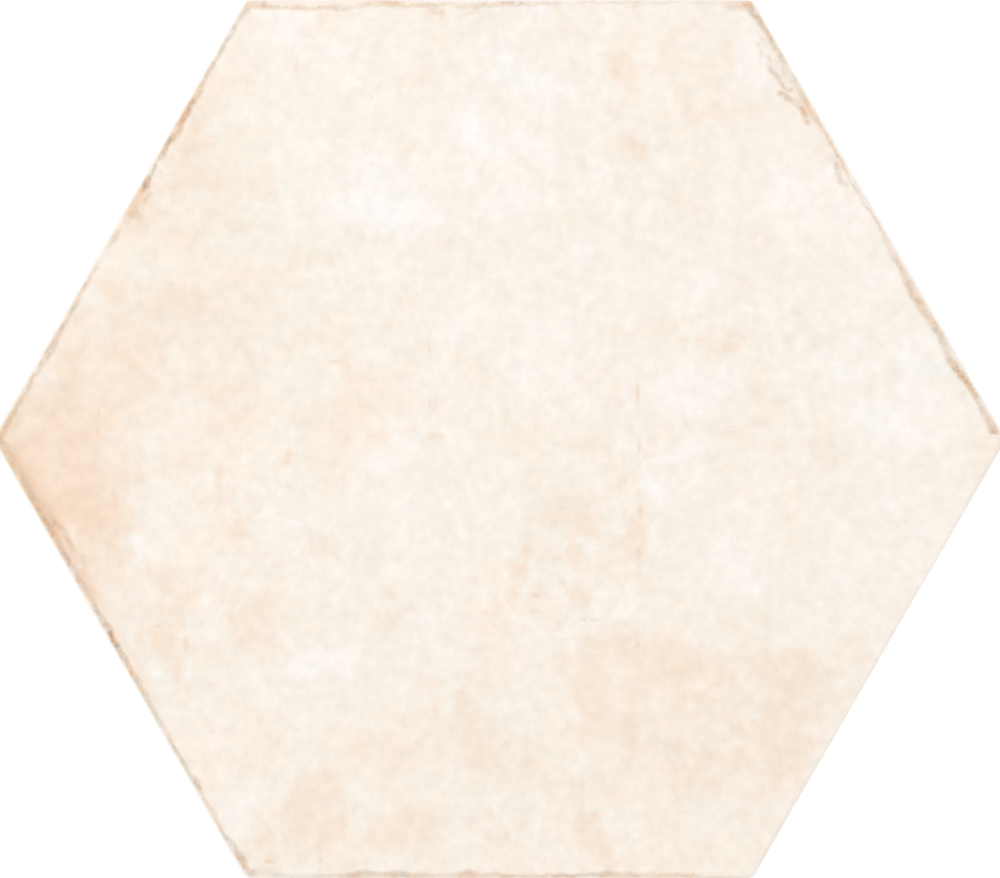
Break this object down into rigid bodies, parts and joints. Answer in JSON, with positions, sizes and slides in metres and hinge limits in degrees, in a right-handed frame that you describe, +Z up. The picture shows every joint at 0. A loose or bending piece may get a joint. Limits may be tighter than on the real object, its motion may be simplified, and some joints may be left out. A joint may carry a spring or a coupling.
{
  "type": "hexagon floor tile",
  "caption": "Cream hexagonal ceramic floor tile with a matt mottled face, tan worn edges and a keyed back.",
  "frame": {"origin": "middle of the back, level with the crests of its ribs", "axes": "+Z up out of the walking face, X from corner to corner, Y from flat to flat"},
  "size_m": [0.2486, 0.216, 0.009],
  "materials": {
    "stoneware": "matt"
  },
  "bodies": {
    "root": {"tile": "stoneware"}
  },
  "joints": []
}
